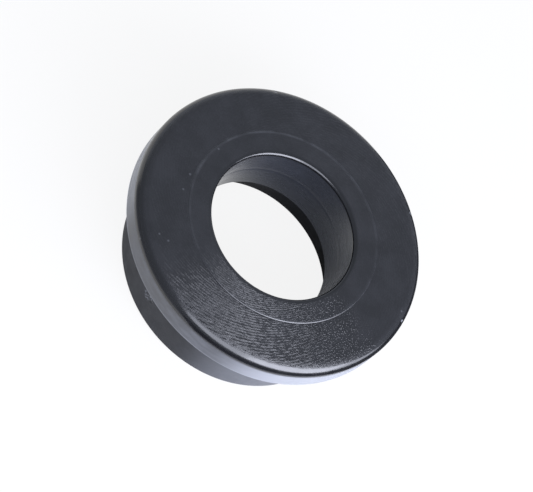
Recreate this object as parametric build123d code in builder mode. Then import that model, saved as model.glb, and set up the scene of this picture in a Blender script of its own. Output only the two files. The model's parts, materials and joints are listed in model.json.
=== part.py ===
from build123d import *
import os

# Flanged bushing, moulded as one piece, with a stepped bore.
# It stands on the end of its sleeve, with the flange up. The origin is at the middle of the sleeve's end,
# and +Z runs along the bore towards the flange face. All sizes are in millimetres.

os.makedirs("parts", exist_ok=True)

# Across the axis, from the bore outwards
bore_diameter = 25.0
seat_width = 3.5
sleeve_wall = 4.6
flange_overhang = 4.4

# Along the axis, from the sleeve's end up
counterbore_depth = 7.5
bore_below_flange = 5.2
flange_thickness = 5.5

# Edges
rim_front_round = 1.9
rim_back_chamfer = 0.25
bore_mouth_round = 0.7
sleeve_end_chamfer = 0.65

# Hub, the face round the bore, which stands a hair proud of the flange face
hub_width = 4.1
hub_step = 0.1

# Radii and heights that follow from the sizes above
bore_radius = bore_diameter / 2
counterbore_radius = bore_radius + seat_width
sleeve_radius = counterbore_radius + sleeve_wall
flange_radius = sleeve_radius + flange_overhang
hub_radius = bore_radius + hub_width
flange_back_height = counterbore_depth + bore_below_flange
face_height = flange_back_height + flange_thickness
hub_height = face_height + hub_step

with BuildPart() as bushing:
    # Half section, turned about the bore's axis
    with BuildSketch(Plane.XZ) as half_section:
        with BuildLine() as section_outline:
            Polyline(
                (bore_radius, hub_height),
                (hub_radius, hub_height),
                (hub_radius + hub_step, face_height),
                (flange_radius, face_height),
                (flange_radius, flange_back_height),
                (sleeve_radius, flange_back_height),
                (sleeve_radius, 0),
                (counterbore_radius, 0),
                (counterbore_radius, counterbore_depth),
                (bore_radius, counterbore_depth),
                close=True,
            )
        make_face()
    revolve(axis=Axis.Z)

    # Front: a wide round along the flange's rim and a small one at the bore's mouth
    face_edges = bushing.edges().filter_by(GeomType.CIRCLE).filter_by_position(Axis.Z, face_height, face_height)
    fillet(face_edges.sort_by(SortBy.LENGTH)[-1], rim_front_round)
    hub_edges = bushing.faces().sort_by(Axis.Z)[-1].edges()
    fillet(hub_edges.sort_by(SortBy.LENGTH)[0], bore_mouth_round)

    # Flange back: the rim's rear edge is broken by a narrow chamfer
    back_edges = bushing.edges().filter_by(GeomType.CIRCLE).filter_by_position(
        Axis.Z, flange_back_height, flange_back_height
    )
    chamfer(back_edges.sort_by(SortBy.LENGTH)[-1], rim_back_chamfer)

    # Sleeve end: a lead-in on the outside
    end_edges = bushing.faces().sort_by(Axis.Z)[0].edges()
    chamfer(end_edges.sort_by(SortBy.LENGTH)[-1], sleeve_end_chamfer)

bushing.part.label = "bushing"
export_step(bushing.part, "parts/bushing.step")
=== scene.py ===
import json
import math

import bmesh
import bpy
from mathutils import Matrix, Quaternion, Vector


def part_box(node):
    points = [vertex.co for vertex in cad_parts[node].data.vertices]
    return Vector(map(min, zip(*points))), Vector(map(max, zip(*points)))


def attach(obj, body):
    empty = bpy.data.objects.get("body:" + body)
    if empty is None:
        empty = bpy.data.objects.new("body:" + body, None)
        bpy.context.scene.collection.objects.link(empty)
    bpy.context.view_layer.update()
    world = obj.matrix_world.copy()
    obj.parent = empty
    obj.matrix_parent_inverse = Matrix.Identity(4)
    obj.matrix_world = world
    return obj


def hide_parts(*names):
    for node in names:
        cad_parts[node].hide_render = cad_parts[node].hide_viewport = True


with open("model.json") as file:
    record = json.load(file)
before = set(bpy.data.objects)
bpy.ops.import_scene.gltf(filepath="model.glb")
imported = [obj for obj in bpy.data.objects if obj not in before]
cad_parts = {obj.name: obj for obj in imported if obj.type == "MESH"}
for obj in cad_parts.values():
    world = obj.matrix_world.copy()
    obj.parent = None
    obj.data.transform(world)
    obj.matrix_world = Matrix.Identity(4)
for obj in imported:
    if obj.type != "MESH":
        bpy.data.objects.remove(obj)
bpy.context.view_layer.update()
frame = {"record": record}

MM = 0.001

# Sizes that the frame gives
mounts = {mount["name"]: mount for mount in frame["record"]["mounts"]}
_, body_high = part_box("bushing")
flange_radius = body_high.x
hub_height = body_high.z
flange_back_height = mounts["flange_back"]["pos_m"][2]
sleeve_radius = mounts["sleeve"]["dims"]["r_mm"] * MM
bore_radius = mounts["bore"]["dims"]["r_mm"] * MM
counterbore_radius = mounts["counterbore"]["dims"]["r_mm"] * MM
counterbore_depth = mounts["counterbore"]["dims"]["length_mm"] * MM

# Edges and steps, as on the CAD part
hub_radius = 16.6 * MM
hub_step = 0.1 * MM
face_height = hub_height - hub_step
rim_front_round = 1.9 * MM
rim_back_chamfer = 0.25 * MM
bore_mouth_round = 0.7 * MM
sleeve_end_chamfer = 0.65 * MM

# Parting line that the mould left in the bore
parting_width = 0.3 * MM
parting_depth = 0.03 * MM

# Dents along the rim's round: azimuth and tilt in degrees, then width and depth
rim_dents = (
    (59.5, 42, 0.6 * MM, 0.20 * MM),
    (135, 35, 0.5 * MM, 0.12 * MM),
    (12, 48, 0.5 * MM, 0.10 * MM),
)

# Marks on the plastic: distance from the axis in mm, azimuth in degrees, height and size in mm
face_specks = (
    (17.4, -157, 18.2, 0.28),
    (17.8, -147, 18.2, 0.24),
    (16.1, 178, 18.3, 0.24),
    (22.3, -122.9, 18.2, 0.24),
    (21.1, -119.5, 18.2, 0.26),
    (23.5, 14.5, 18.15, 0.24),
    (24.9, -123, 16.6, 0.28),
)
rim_chips = (
    (24.3, 59.5, 17.65, 0.40),
    (24.15, 135, 17.8, 0.30),
    (24.45, 12, 17.5, 0.30),
)
sleeve_scuffs = (
    (20.6, -107.6, 4.9, 0.85),
    (20.6, -109.8, 5.1, 0.65),
    (20.6, -106.2, 5.7, 0.60),
)
sleeve_pits = (
    (20.6, -104.9, 5.25, 0.4),
)

# Sides of the bushing, as azimuths in degrees with 0 at +X. Some of them place painted light: a paler rim
# towards the lamp and at the back left, a painted glint on the rim's rear corner, and a painted highlight on
# the hub's ring
lamp_side = -32
dotted_side = -33
corner_glint_side = -155
painted_light_left_side = -165
ring_highlight_side = 143

# The plastic: its refraction, its blacks with a cold tinge, of which the counterbore's is darker as painted
# shade, and the greys of places that are rubbed, of which the palest serves both real marks and painted light
plastic_ior = 1.65
plastic_dark = (0.0108, 0.0109, 0.0132, 1.0)
plastic_light = (0.0190, 0.0192, 0.0226, 1.0)
sleeve_dark = (0.0032, 0.0035, 0.0046, 1.0)
sleeve_light = (0.0054, 0.0059, 0.0076, 1.0)
rubbed_dark = (0.041, 0.043, 0.050, 1.0)
rubbed_light = (0.070, 0.073, 0.083, 1.0)
wear_and_painted_light_grey = (0.30, 0.31, 0.34, 1.0)
bore_dark = (0.0110, 0.0126, 0.0185, 1.0)
bore_light = (0.0155, 0.0175, 0.0255, 1.0)
bore_sheen = (0.90, 0.94, 1.0, 1.0)
counterbore_shaded_black = (0.004, 0.0042, 0.005, 1.0)

# Density of the mesh, the distance at which its points join, and the slack in telling its faces apart
turn_steps = 360
ring_spacing = 0.6 * MM
weld_distance = 0.001 * MM
slack = 0.01 * MM


class Wire:
    """A socket in a material's nodes that takes part in sums like a number."""

    def __init__(self, tree, socket):
        self.tree = tree
        self.socket = socket

    def sum_node(self, operation, first, second=0.0):
        math_node = self.tree.nodes.new("ShaderNodeMath")
        math_node.operation = operation
        connect(self.tree, math_node.inputs[0], first)
        connect(self.tree, math_node.inputs[1], second)
        return Wire(self.tree, math_node.outputs[0])

    def __add__(self, other):
        return self.sum_node("ADD", self, other)

    def __radd__(self, other):
        return self.sum_node("ADD", other, self)

    def __sub__(self, other):
        return self.sum_node("SUBTRACT", self, other)

    def __rsub__(self, other):
        return self.sum_node("SUBTRACT", other, self)

    def __mul__(self, other):
        return self.sum_node("MULTIPLY", self, other)

    def __rmul__(self, other):
        return self.sum_node("MULTIPLY", other, self)

    def __truediv__(self, other):
        return self.sum_node("DIVIDE", self, other)

    def __rtruediv__(self, other):
        return self.sum_node("DIVIDE", other, self)

    def root(self):
        return self.sum_node("SQRT", self)

    def fraction(self):
        return self.sum_node("FRACT", self)

    def natural_log(self):
        return self.sum_node("LOGARITHM", self, math.e)

    def turn_from(self, other):
        """The angle of the point that has this as its sine part and the other as its cosine part."""
        return self.sum_node("ARCTAN2", self, other)

    def smaller(self, other):
        return self.sum_node("MINIMUM", self, other)

    def larger(self, other):
        return self.sum_node("MAXIMUM", self, other)


def connect(tree, socket, value):
    """Links a wire to a socket, or sets the socket to a plain value."""
    if isinstance(value, Wire):
        tree.links.new(value.socket, socket)
    else:
        socket.default_value = value


class Nodes:
    """The nodes of one material or of the world."""

    def __init__(self, tree):
        self.tree = tree
        self.tree.nodes.clear()

    def node(self, kind, settings=None, sockets=None, output=0):
        """Adds a node, sets its settings first and then its sockets, and gives one output."""
        made = self.tree.nodes.new(kind)
        for name, value in (settings or {}).items():
            setattr(made, name, value)
        for name, value in (sockets or {}).items():
            connect(self.tree, made.inputs[name], value)
        return Wire(self.tree, made.outputs[output]) if made.outputs else None

    def object_place(self):
        return self.node("ShaderNodeTexCoord", output="Object")

    def parts_of(self, vector):
        """The x, y and z of a vector."""
        return [self.node("ShaderNodeSeparateXYZ", sockets={"Vector": vector}, output=axis) for axis in "XYZ"]

    def vector(self, x, y, z):
        return self.node("ShaderNodeCombineXYZ", sockets={"X": x, "Y": y, "Z": z})

    def noise(self, place, scale, detail):
        return self.node("ShaderNodeTexNoise", sockets={"Vector": place, "Scale": scale, "Detail": detail})

    def distance(self, place, middle):
        settings = {"operation": "DISTANCE"}
        return self.node("ShaderNodeVectorMath", settings, {0: place, 1: middle}, output="Value")

    def raised_dots(self, place, spacing, size):
        """Heights of small cones of one size, scattered about a spacing apart in the XY plane."""
        settings = {"voronoi_dimensions": "2D"}
        away = self.node("ShaderNodeTexVoronoi", settings, {"Vector": place, "Scale": 1 / spacing})
        return (size - away * spacing).larger(0.0)

    def ramp(self, value, low, high, to_low=0.0, to_high=1.0):
        """A smooth step from to_low to to_high as the value goes from low to high."""
        settings = {"interpolation_type": "SMOOTHSTEP"}
        sockets = {"Value": value, "From Min": low, "From Max": high, "To Min": to_low, "To Max": to_high}
        return self.node("ShaderNodeMapRange", settings, sockets)

    def mix_colour(self, share, first, second):
        """A mix of two colours, which are inputs 6 and 7 of the node and its output 2."""
        settings = {"data_type": "RGBA"}
        sockets = {"Factor": share, 6: first, 7: second}
        return self.node("ShaderNodeMix", settings, sockets, output=2)

    def bump(self, height):
        """Normals of a height in metres."""
        sockets = {"Height": height, "Distance": 1.0, "Strength": 1.0}
        return self.node("ShaderNodeBump", sockets=sockets)


def new_finish(name):
    """A new material and its nodes, with none made yet."""
    material = bpy.data.materials.new(name)
    material.use_nodes = True
    return material, Nodes(material.node_tree)


def plastic_shader(nodes, colour, roughness, height, gloss=0.5, tint=(1.0, 1.0, 1.0, 1.0)):
    """The plastic's own surface, with normals from a height in metres, sent to the material's output."""
    sockets = {
        "Base Color": colour,
        "Roughness": roughness,
        "Normal": nodes.bump(height),
        "IOR": plastic_ior,
        "Specular IOR Level": gloss,
        "Specular Tint": tint,
    }
    surface = nodes.node("ShaderNodeBsdfPrincipled", sockets=sockets)
    nodes.node("ShaderNodeOutputMaterial", sockets={"Surface": surface})


def axis_places(nodes):
    """Distance from the axis, the direction away from it as two cosines, and height."""
    x, y, z = nodes.parts_of(nodes.object_place())
    radius = (x * x + y * y).root()
    return radius, x / radius, y / radius, z


def towards(cos_angle, sin_angle, azimuth_deg):
    """1 on the side of the axis that has this azimuth, down to -1 on the other side."""
    azimuth = math.radians(azimuth_deg)
    return cos_angle * math.cos(azimuth) + sin_angle * math.sin(azimuth)


def streaked(nodes, cos_angle, sin_angle, along, across, detail):
    """Noise in streaks along the turn: a low value of along makes them long, and across tells them apart."""
    return nodes.noise(nodes.vector(cos_angle * along, sin_angle * along, across), 1.0, detail)


def clouded(nodes, place, dark, light):
    """A colour that is cloudy on a scale of millimetres, with a fine grain over it."""
    cloud = nodes.noise(place, 260.0, 3.0)
    grain = nodes.noise(place, 5200.0, 1.0)
    share = nodes.ramp(cloud * 0.6 + grain * 0.4, 0.36, 0.66)
    return nodes.mix_colour(share, dark, light)


def patchy(nodes, place, scale, low, high):
    """A value that wanders between low and high in soft patches."""
    return nodes.ramp(nodes.noise(place, scale, 2.0), 0.3, 0.7, low, high)


def uneven_height(nodes, place, coarse_scale, coarse_depth, fine_scale, fine_depth):
    """Heights of a surface that isn't quite even: a coarse noise with a fine one over it."""
    coarse = nodes.noise(place, coarse_scale, 2.0) * coarse_depth
    fine = nodes.noise(place, fine_scale, 1.0) * fine_depth
    return coarse + fine


def sawtooth(phase, drop_share):
    """Ripples from 0 to 1 that drop over the given share of their period and rise over the rest."""
    place_in_ripple = phase.fraction()
    return (place_in_ripple / (1 - drop_share)).smaller((1 - place_in_ripple) / drop_share)


def direction(azimuth_deg, elevation_deg):
    """The unit vector with this azimuth about the bore's axis and this elevation above the floor."""
    azimuth = math.radians(azimuth_deg)
    elevation = math.radians(elevation_deg)
    level = math.cos(elevation)
    return Vector((level * math.cos(azimuth), level * math.sin(azimuth), math.sin(elevation)))


def marks(nodes, place, spots):
    """Small marks: 1 at the middle of each spot and 0 beyond its size."""
    whole = None
    for radius, azimuth_deg, height, size in spots:
        middle = direction(azimuth_deg, 0.0) * radius * MM + Vector((0, 0, height * MM))
        spot = nodes.ramp(nodes.distance(place, middle), size * MM, size * MM * 0.4)
        whole = spot if whole is None else whole.larger(spot)
    return whole


def face_ripples(nodes, radius, cos_angle, sin_angle):
    """Heights of the fine ripples on the face: a spiral with many starts, deeper in short dashes."""
    spiral_tightness = 42
    spiral_starts = 76
    spiral_wander = 0.4
    ripples_per_dash = 4

    # Depths as shares of the distance from the axis, so that the slopes are alike all over the face
    depth_in_dashes = 0.0025
    least_depth = 0.0008

    turn = sin_angle.turn_from(cos_angle) / math.tau
    wander = streaked(nodes, cos_angle, sin_angle, 14.0, radius * 700.0, 1.0)
    broken = streaked(nodes, cos_angle, sin_angle, 24.0, radius * 3000.0, 0.0)
    spiral = radius.natural_log() * spiral_tightness + turn * spiral_starts + wander * spiral_wander
    dashes = sawtooth(spiral, 0.5) * nodes.ramp(broken, 0.36, 0.60, 0.38, 1.06)
    azimuth_deg = turn * 360
    fade_left = nodes.ramp(azimuth_deg, -117, -88, 0.3, 1.1)
    fade_right = nodes.ramp(azimuth_deg, -78, -45, 1.0, 0.64) * nodes.ramp(azimuth_deg, -40, 0, 1.0, 0.40)
    depth = (dashes * depth_in_dashes + least_depth) * fade_left * fade_right * radius
    return sawtooth(spiral * ripples_per_dash, 0.42) * depth


def face_dots(nodes, place, cos_angle, sin_angle):
    """Heights of the small dots among the ripples, on the side of the face towards the lamp."""
    dot_spacing = 0.40 * MM
    dot_size = 0.118 * MM
    dotted = nodes.ramp(towards(cos_angle, sin_angle, dotted_side), 0.80, 0.98)
    uneven = nodes.ramp(nodes.noise(place, 1300.0, 0.0), 0.35, 0.60, 0.5, 1.1)
    return nodes.raised_dots(place, dot_spacing, dot_size) * dotted * uneven


def front_finish():
    """The flange face and the rounds: a fine turned grain on the face, smooth and darker on the rounds."""
    material, nodes = new_finish("front_plastic")
    place = nodes.object_place()
    radius, cos_angle, sin_angle, _ = axis_places(nodes)
    round_darkening = 0.75
    speck_paleness = 0.16
    chip_paleness = 0.8
    chip_depth = 0.04 * MM
    grain_roughness = 0.12

    # The flat face, which has the grain, and the rounds, which are darker
    round_start = flange_radius - rim_front_round
    off_rim_round = nodes.ramp(radius, round_start + 1.15 * MM, round_start + 0.6 * MM)
    off_mouth_round = nodes.ramp(radius, bore_radius + 0.6 * MM, bore_radius + 1.0 * MM)
    flat = off_rim_round * off_mouth_round
    on_rim_round = nodes.ramp(radius, round_start + 0.85 * MM, round_start + 1.4 * MM)
    on_mouth_round = nodes.ramp(radius, bore_radius + 0.75 * MM, bore_radius + 0.4 * MM)
    on_rounds = on_rim_round.larger(on_mouth_round)

    # The hub's edge, which has no grain, and a painted highlight along it that is strongest on one side
    inside_edge = nodes.ramp(radius, hub_radius - 0.18 * MM, hub_radius - 0.02 * MM)
    outside_edge = nodes.ramp(radius, hub_radius + 0.28 * MM, hub_radius + 0.14 * MM)
    hub_edge = inside_edge * outside_edge
    ring = nodes.ramp(radius, hub_radius - 0.50 * MM, hub_radius - 0.15 * MM) * outside_edge
    uneven_ring = nodes.ramp(nodes.noise(place, 450.0, 1.0), 0.35, 0.65, 0.4, 1.2)
    paleness = nodes.ramp(towards(cos_angle, sin_angle, ring_highlight_side), 0.0, 0.9, 0.03, 0.09)
    painted_ring_highlight = ring * paleness * uneven_ring

    specks = marks(nodes, place, face_specks)
    chips = marks(nodes, place, rim_chips)
    colour = clouded(nodes, place, plastic_dark, plastic_light)
    colour = nodes.mix_colour(on_rounds * round_darkening, colour, sleeve_dark)
    # The pale ring is a painted highlight. The specks and chips are real marks.
    colour = nodes.mix_colour(painted_ring_highlight + specks * speck_paleness + chips * chip_paleness, colour, wear_and_painted_light_grey)
    roughness = patchy(nodes, place, 800.0, 0.17, 0.23) + flat * grain_roughness

    ripples = face_ripples(nodes, radius, cos_angle, sin_angle)
    dots = face_dots(nodes, place, cos_angle, sin_angle)
    grain = (ripples + dots) * flat * (1 - hub_edge)
    unevenness = uneven_height(nodes, place, 900.0, 0.010 * MM, 4000.0, 0.003 * MM)
    plastic_shader(nodes, colour, roughness, grain + unevenness - chips * chip_depth)
    return material


def rim_finish():
    """The flange's side: rubbed to a lighter grey, with faint streaks along it and a worn rear corner. It is
    paler towards the lamp and at the back left as painted light, and its corner has a painted glint at the
    back left.
    """
    material, nodes = new_finish("rim_plastic")
    place = nodes.object_place()
    _, cos_angle, sin_angle, height_up = axis_places(nodes)
    streak_depth = 0.01 * MM
    streaks = streaked(nodes, cos_angle, sin_angle, 10.0, height_up * 1500.0, 3.0)
    rubbed = nodes.ramp(streaks * 0.6 + nodes.noise(place, 300.0, 3.0) * 0.4, 0.40, 0.60)
    round_foot = face_height - rim_front_round
    below_round = nodes.ramp(height_up, round_foot + 0.1 * MM, round_foot - 0.5 * MM)
    corner = nodes.ramp(height_up, flange_back_height + 0.55 * MM, flange_back_height + 0.3 * MM)
    # Painted light: paler towards the lamp and at the back left. The rear corner is worn all round, with a
    # painted glint at the back left.
    lamp_side_painted_light = nodes.ramp(towards(cos_angle, sin_angle, lamp_side), 0.74, 1.0, 0.0, 0.74)
    painted_light_left = nodes.ramp(towards(cos_angle, sin_angle, painted_light_left_side), 0.79, 1.0, 0.0, 0.7)
    corner_wear_and_painted_glint = nodes.ramp(towards(cos_angle, sin_angle, corner_glint_side), 0.86, 1.0, 0.25, 1.0)
    grey = nodes.mix_colour(rubbed, rubbed_dark, rubbed_light)
    grey = nodes.mix_colour(lamp_side_painted_light + painted_light_left, grey, wear_and_painted_light_grey)
    grey = nodes.mix_colour(corner * corner_wear_and_painted_glint, grey, wear_and_painted_light_grey)
    colour = nodes.mix_colour(below_round, plastic_light, grey)
    roughness = nodes.ramp(rubbed, 0.0, 1.0, 0.30, 0.40)
    plastic_shader(nodes, colour, roughness, streaks * streak_depth)
    return material


def sleeve_finish():
    """The sleeve and the flange's back: a duller black, with a scuff and a pit on the sleeve, and paler
    towards the lamp as painted light.
    """
    material, nodes = new_finish("sleeve_plastic")
    place = nodes.object_place()
    _, cos_angle, sin_angle, _ = axis_places(nodes)
    scuff_paleness = 0.35
    pit_darkening = 0.8
    pit_depth = 0.05 * MM
    flecks = nodes.ramp(nodes.noise(place, 2600.0, 2.0), 0.48, 0.62)
    scuff = marks(nodes, place, sleeve_scuffs) * flecks
    pit = marks(nodes, place, sleeve_pits)
    # Painted light: paler on the side towards the lamp.
    lamp_side_painted_light = nodes.ramp(towards(cos_angle, sin_angle, lamp_side), 0.62, 1.0, 0.0, 0.25)
    colour = clouded(nodes, place, sleeve_dark, sleeve_light)
    colour = nodes.mix_colour(scuff * scuff_paleness + lamp_side_painted_light, colour, wear_and_painted_light_grey)
    colour = nodes.mix_colour(pit * pit_darkening, colour, sleeve_dark)
    roughness = patchy(nodes, place, 600.0, 0.34, 0.44)
    unevenness = uneven_height(nodes, place, 800.0, 0.015 * MM, 3600.0, 0.004 * MM)
    plastic_shader(nodes, colour, roughness, unevenness - pit * pit_depth, gloss=0.25)
    return material


def bore_finish():
    """The bore: the same black, polished a little by the shaft, with faint rings round it."""
    material, nodes = new_finish("bore_plastic")
    place = nodes.object_place()
    _, cos_angle, sin_angle, height_up = axis_places(nodes)
    ring_depth = 0.004 * MM
    rings = streaked(nodes, cos_angle, sin_angle, 2.5, height_up * 1300.0, 2.0)
    colour = clouded(nodes, place, bore_dark, bore_light)
    roughness = nodes.ramp(rings, 0.3, 0.7, 0.23, 0.31)
    plastic_shader(nodes, colour, roughness, rings * ring_depth, tint=bore_sheen)
    return material


def counterbore_finish():
    """The counterbore and the seat at its root: dull, and darker than the other plastic as painted shade in
    this recess.
    """
    material, nodes = new_finish("counterbore_plastic")
    place = nodes.object_place()
    unevenness = 0.02 * MM
    # The darker black is painted shade in the recess.
    colour = clouded(nodes, place, counterbore_shaded_black, plastic_dark)
    roughness = patchy(nodes, place, 600.0, 0.5, 0.6)
    plastic_shader(nodes, colour, roughness, nodes.noise(place, 1500.0, 2.0) * unevenness, gloss=0.15)
    return material


def turn_about(mesh, geometry, middle, angle, steps, closed):
    """Turns points and edges about an upright line through the middle, which makes faces."""
    bmesh.ops.spin(
        mesh,
        geom=geometry,
        cent=middle,
        axis=(0, 0, 1),
        dvec=(0, 0, 0),
        angle=angle,
        steps=steps,
        use_merge=closed,
        use_normal_flip=False,
        use_duplicate=False,
    )


def place_mesh(name, mesh, materials):
    """Makes an object at the origin from a mesh and its materials, and frees the mesh."""
    data = bpy.data.meshes.new(name)
    mesh.to_mesh(data)
    mesh.free()
    for material in materials:
        data.materials.append(material)
    placed = bpy.data.objects.new(name, data)
    bpy.context.scene.collection.objects.link(placed)
    return placed


def half_section(mesh):
    """The outline of the bushing's section, in the XZ plane, as wire edges with its rounds made."""
    outline = {
        "mouth": (bore_radius, hub_height),
        "hub_edge": (hub_radius, hub_height),
        "hub_foot": (hub_radius + hub_step, face_height),
        "rim_front": (flange_radius, face_height),
        "rim_back": (flange_radius, flange_back_height),
        "sleeve_root": (sleeve_radius, flange_back_height),
        "sleeve_end": (sleeve_radius, 0),
        "counterbore_mouth": (counterbore_radius, 0),
        "counterbore_root": (counterbore_radius, counterbore_depth),
        "lip": (bore_radius, counterbore_depth),
        "parting_low": (bore_radius, flange_back_height - parting_width / 2),
        "parting_floor": (bore_radius + parting_depth, flange_back_height),
        "parting_high": (bore_radius, flange_back_height + parting_width / 2),
    }
    edges = {
        "mouth": (bore_mouth_round, 8),
        "rim_front": (rim_front_round, 16),
        "rim_back": (rim_back_chamfer, 1),
        "sleeve_end": (sleeve_end_chamfer, 1),
    }
    corners = {name: mesh.verts.new((radius, 0, height)) for name, (radius, height) in outline.items()}
    mesh.faces.new(corners.values())
    for name, (size, segments) in edges.items():
        bmesh.ops.bevel(
            mesh,
            geom=[corners[name]],
            offset=size,
            offset_type="OFFSET",
            segments=segments,
            profile=0.5,
            affect="VERTICES",
            material=-1,
        )
    bmesh.ops.delete(mesh, geom=list(mesh.faces), context="FACES_ONLY")
    for edge in list(mesh.edges):
        cuts = int(edge.calc_length() / ring_spacing)
        if cuts:
            bmesh.ops.subdivide_edges(mesh, edges=[edge], cuts=cuts)


def finish_of(face):
    """The finish that a face of the mesh has, by its place."""
    middle = face.calc_center_median()
    radius = math.hypot(middle.x, middle.y)
    round_foot = face_height - rim_front_round
    if radius > flange_radius - rim_back_chamfer and flange_back_height < middle.z < round_foot:
        return rim_finish
    if middle.z > hub_height - bore_mouth_round:
        return front_finish
    if radius > sleeve_radius and middle.z > round_foot:
        return front_finish
    if radius > counterbore_radius + slack:
        return sleeve_finish
    if middle.z < counterbore_depth + slack:
        return counterbore_finish
    return bore_finish


def dent_rim(mesh):
    """Small dents that knocks have left along the rim's round."""
    for azimuth_deg, tilt_deg, width, depth in rim_dents:
        outward = direction(azimuth_deg, 90.0 - tilt_deg)
        round_middle = direction(azimuth_deg, 0.0) * (flange_radius - rim_front_round)
        round_middle.z = face_height - rim_front_round
        dent_middle = round_middle + outward * rim_front_round
        for vert in mesh.verts:
            nearness = 1 - (vert.co - dent_middle).length / width
            if nearness > 0:
                vert.co -= outward * depth * nearness


def make_bushing():
    """The whole bushing: its section turned about the bore's axis."""
    sharp_angle = math.radians(28)
    mesh = bmesh.new()
    half_section(mesh)
    turn_about(mesh, list(mesh.verts) + list(mesh.edges), (0, 0, 0), math.tau, turn_steps, closed=True)
    bmesh.ops.remove_doubles(mesh, verts=list(mesh.verts), dist=weld_distance)
    bmesh.ops.recalc_face_normals(mesh, faces=list(mesh.faces))
    dent_rim(mesh)
    mesh.normal_update()
    finishes = (front_finish, rim_finish, sleeve_finish, bore_finish, counterbore_finish)
    for face in mesh.faces:
        face.smooth = True
        face.material_index = finishes.index(finish_of(face))
    piece = place_mesh("bushing_body", mesh, [finish() for finish in finishes])
    piece.data.set_sharp_from_angle(angle=sharp_angle)
    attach(piece, "root")
    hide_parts("bushing")


def floor_finish():
    """White with a faint shadow. In reflections it has painted shade near the sleeve, painted light on the
    left and a painted pool of light under the bore.
    """
    # Shares of plain white: where the camera sees it, and in reflections beside the part and under it. In
    # reflections the left is whiter as painted light over its shadow, and a patch under the bore is a painted
    # pool of light
    whitening_seen = 0.88
    whitening_left = 0.90
    whitening_right = 0.25
    whitening_under = 0.13
    painted_light_patch_whitening = 1.0
    painted_light_patch_middle = Vector((-8 * MM, 7.5 * MM, 0))
    painted_light_patch_size = 9.5 * MM
    left_edge = -8 * MM
    right_edge = 14 * MM

    # The painted shade round the sleeve, seen only in reflections
    shaded_share = 0.25
    shade_edge = 26 * MM
    light_edge = 30 * MM

    material, nodes = new_finish("white_floor")
    camera_ray = nodes.node("ShaderNodeLightPath", output="Is Camera Ray")
    glossy_ray = nodes.node("ShaderNodeLightPath", output="Is Glossy Ray")
    transmission_ray = nodes.node("ShaderNodeLightPath", output="Is Transmission Ray")
    reflected = glossy_ray.larger(transmission_ray)
    place = nodes.object_place()
    x, y, _ = nodes.parts_of(place)
    from_axis = (x * x + y * y).root()
    beside = nodes.ramp(x, left_edge, right_edge, whitening_left, whitening_right)
    shaded = nodes.ramp(from_axis, shade_edge, light_edge, shaded_share, 1.0)
    under = nodes.ramp(nodes.distance(place, painted_light_patch_middle), painted_light_patch_size, 0.0, whitening_under, painted_light_patch_whitening)
    outside = nodes.ramp(from_axis, counterbore_radius, sleeve_radius)
    reflected_share = beside * shaded * outside + under * (1 - outside)
    whitening = (camera_ray * whitening_seen).larger(reflected * reflected_share)
    lit = nodes.node("ShaderNodeBsdfDiffuse", sockets={"Color": (0.86, 0.86, 0.86, 1.0)})
    white = nodes.node("ShaderNodeEmission", sockets={"Color": (1.0, 1.0, 1.0, 1.0), "Strength": 1.0})
    mixed = nodes.node("ShaderNodeMixShader", sockets={0: whitening, 1: lit, 2: white})
    nodes.node("ShaderNodeOutputMaterial", sockets={"Surface": mixed})
    return material


def make_floor():
    """A wide floor, a hair below the end of the sleeve."""
    floor_size = 2.0
    floor_height = -0.02 * MM
    mesh = bmesh.new()
    bmesh.ops.create_grid(mesh, x_segments=1, y_segments=1, size=floor_size)
    bmesh.ops.translate(mesh, verts=list(mesh.verts), vec=(0, 0, floor_height))
    floor = place_mesh("floor", mesh, [floor_finish()])


def card_finish(name, shade):
    """Plain paper of one grey."""
    material, nodes = new_finish(name)
    paper = nodes.node("ShaderNodeBsdfDiffuse", sockets={"Color": (shade, shade, shade, 1.0)})
    nodes.node("ShaderNodeOutputMaterial", sockets={"Surface": paper})
    return material


def make_card(name, start_deg, sweep_deg, inner_radius, shade):
    """A card round the part on the floor. Only reflections show it, as dark edges on the rounds."""
    card_middle = Vector((8 * MM, -10 * MM, 0))
    outer_radius = 900 * MM
    card_steps = 48
    mesh = bmesh.new()
    start = direction(start_deg, 0.0)
    near = mesh.verts.new(card_middle + start * inner_radius)
    far = mesh.verts.new(card_middle + start * outer_radius)
    edge = mesh.edges.new((near, far))
    turn_about(mesh, [near, far, edge], card_middle, math.radians(sweep_deg), card_steps, closed=False)
    card = place_mesh(name, mesh, [card_finish(name, shade)])
    card.visible_camera = False
    card.visible_diffuse = False
    card.visible_transmission = False
    card.visible_shadow = False


def make_cards():
    """A black card on the right and a grey one at the front left."""
    make_card("black_card", start_deg=-97.0, sweep_deg=192.0, inner_radius=31 * MM, shade=0.05)
    make_card("grey_card", start_deg=-175.0, sweep_deg=78.0, inner_radius=50 * MM, shade=0.3)


def make_softbox(name, azimuth_deg, elevation_deg, roll_deg, distance, width, height, radiance, colour):
    """A lamp that faces the bushing, with sizes in metres. Its power follows from its radiance and area."""
    lamp = bpy.data.lights.new(name, "AREA")
    lamp.shape = "RECTANGLE"
    lamp.size = width
    lamp.size_y = height
    lamp.energy = radiance * math.pi * width * height
    lamp.color = colour
    softbox = bpy.data.objects.new(name, lamp)
    to_lamp = direction(azimuth_deg, elevation_deg)
    softbox.location = Vector((0, 0, face_height)) + to_lamp * distance
    softbox.rotation_mode = "QUATERNION"
    roll = Quaternion((0, 0, 1), math.radians(roll_deg))
    softbox.rotation_quaternion = to_lamp.to_track_quat("Z", "Y") @ roll
    softbox.visible_camera = False
    bpy.context.scene.collection.objects.link(softbox)


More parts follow.
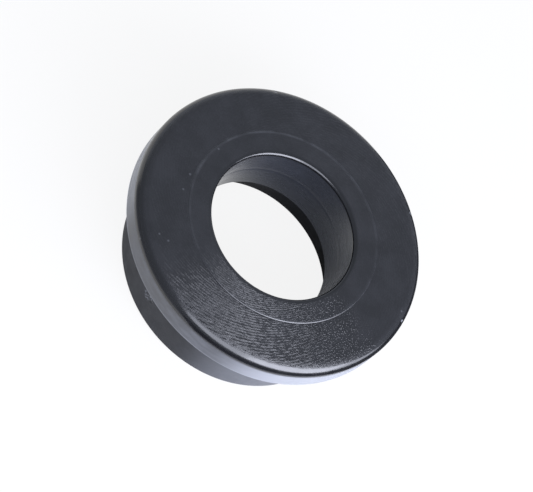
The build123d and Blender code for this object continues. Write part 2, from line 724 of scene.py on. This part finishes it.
def make_light():
    """A long softbox low on the right with a brighter middle, a weak one behind and a pale surround."""
    cool_white = (0.84, 0.87, 1.0)
    make_softbox(
        "side_softbox",
        azimuth_deg=-24.0,
        elevation_deg=24.0,
        roll_deg=-28.0,
        distance=0.35,
        width=1.10,
        height=0.28,
        radiance=4.6,
        colour=cool_white,
    )
    make_softbox(
        "side_softbox_middle",
        azimuth_deg=-18.0,
        elevation_deg=20.0,
        roll_deg=-28.0,
        distance=0.35,
        width=0.34,
        height=0.22,
        radiance=5.5,
        colour=cool_white,
    )
    make_softbox(
        "back_softbox",
        azimuth_deg=120.0,
        elevation_deg=8.0,
        roll_deg=0.0,
        distance=0.6,
        width=1.6,
        height=0.4,
        radiance=0.35,
        colour=cool_white,
    )
    world = bpy.data.worlds.new("surround")
    world.use_nodes = True
    nodes = Nodes(world.node_tree)
    pale = nodes.node("ShaderNodeBackground", sockets={"Color": (0.80, 0.87, 1.0, 1.0), "Strength": 0.47})
    nodes.node("ShaderNodeOutputWorld", sockets={"Surface": pale})
    bpy.context.scene.world = world


def make_camera():
    """The photograph's camera: its tilt from the bore's axis, its roll, and where the face's middle lies."""
    picture_width = 533
    picture_height = 492
    face_middle_px = (284.22, 225.92)
    focal_px = 2829
    tilt = math.radians(35.40)
    roll = math.radians(47.77)
    distance = 450 * MM
    camera_data = bpy.data.cameras.new("camera")
    camera_data.sensor_fit = "HORIZONTAL"
    camera_data.sensor_width = 36.0
    camera_data.lens = camera_data.sensor_width * focal_px / picture_width
    right = (face_middle_px[0] - picture_width / 2) / focal_px
    down = (face_middle_px[1] - picture_height / 2) / focal_px
    turn = Matrix.Rotation(tilt, 4, "X") @ Matrix.Rotation(roll, 4, "Z")
    towards_face = turn @ Vector((right, -down, -1.0)) * distance
    camera = bpy.data.objects.new("camera", camera_data)
    camera.matrix_world = Matrix.Translation(Vector((0, 0, face_height)) - towards_face) @ turn
    bpy.context.scene.collection.objects.link(camera)
    bpy.context.scene.camera = camera


make_bushing()
make_floor()
make_cards()
make_light()
make_camera()
bpy.context.scene.view_settings.view_transform = "Standard"
